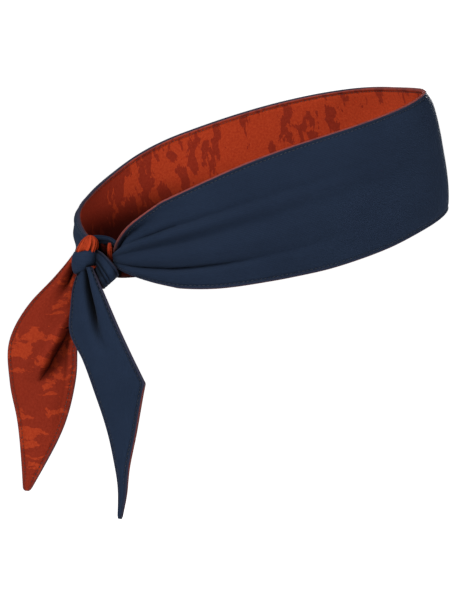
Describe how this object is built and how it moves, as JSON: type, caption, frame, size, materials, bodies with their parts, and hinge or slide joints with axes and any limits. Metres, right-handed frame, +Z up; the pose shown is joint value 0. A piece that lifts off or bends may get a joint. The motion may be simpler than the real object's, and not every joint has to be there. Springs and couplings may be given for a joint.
{
  "type": "sports headband",
  "caption": "Tie-back sports headband, wide at the forehead and gathered into a knot behind the head, with pointed hanging tails; holds hair and sweat off the face.",
  "frame": {"origin": "middle of the flat front panel of the lining, where it rests on the forehead", "axes": "+Z up as worn, -Y the way the wearer faces, +Y to the knot, -X the wearer's right"},
  "size_m": [0.159, 0.2341, 0.2273],
  "materials": {
    "shell_fabric": "matt navy fine-rib knit with a faint sheen",
    "lining_fabric": "matt orange-red knit with an abstract brick-red print",
    "thread": "dark navy polyester sewing thread"
  },
  "bodies": {
    "band": {"band_shell": "shell_fabric", "band_lining": "lining_fabric", "band_top_stitching": "thread", "band_bottom_stitching": "thread", "knot_core": "lining_fabric", "knot_left_strand": "shell_fabric", "knot_right_strand": "shell_fabric", "knot_wrap": "shell_fabric"},
    "right_tail_upper": {"right_tail_upper_shell": "shell_fabric", "right_tail_upper_lining": "lining_fabric", "right_tail_upper_stitching_a": "thread", "right_tail_upper_stitching_b": "thread"},
    "right_tail_lower": {"right_tail_lower_shell": "shell_fabric", "right_tail_lower_lining": "lining_fabric", "right_tail_lower_stitching": "thread"},
    "left_tail_upper": {"left_tail_upper_shell": "shell_fabric", "left_tail_upper_lining": "lining_fabric", "left_tail_upper_stitching_a": "thread", "left_tail_upper_stitching_b": "thread"},
    "left_tail_lower": {"left_tail_lower_shell": "shell_fabric", "left_tail_lower_lining": "lining_fabric", "left_tail_lower_stitching": "thread"}
  },
  "joints": [
    {"name": "right_tail_swing", "type": "hinge", "parent": "band", "child": "right_tail_upper", "pos_m": [-0.004, 0.19784, -0.06379], "axis": [0.866, 0.5, 0], "range_deg": [-6, 80]},
    {"name": "right_tail_curl", "type": "hinge", "parent": "right_tail_upper", "child": "right_tail_lower", "pos_m": [-0.004, 0.19784, -0.11379], "axis": [0.866, 0.5, 0], "range_deg": [-70, 70]},
    {"name": "left_tail_swing", "type": "hinge", "parent": "band", "child": "left_tail_upper", "pos_m": [0.011, 0.19804, -0.06079], "axis": [0.9536, -0.3011, 0], "range_deg": [-5, 80]},
    {"name": "left_tail_curl", "type": "hinge", "parent": "left_tail_upper", "child": "left_tail_lower", "pos_m": [0.011, 0.19804, -0.12279], "axis": [0.7071, 0.7071, 0], "range_deg": [-70, 70]}
  ]
}
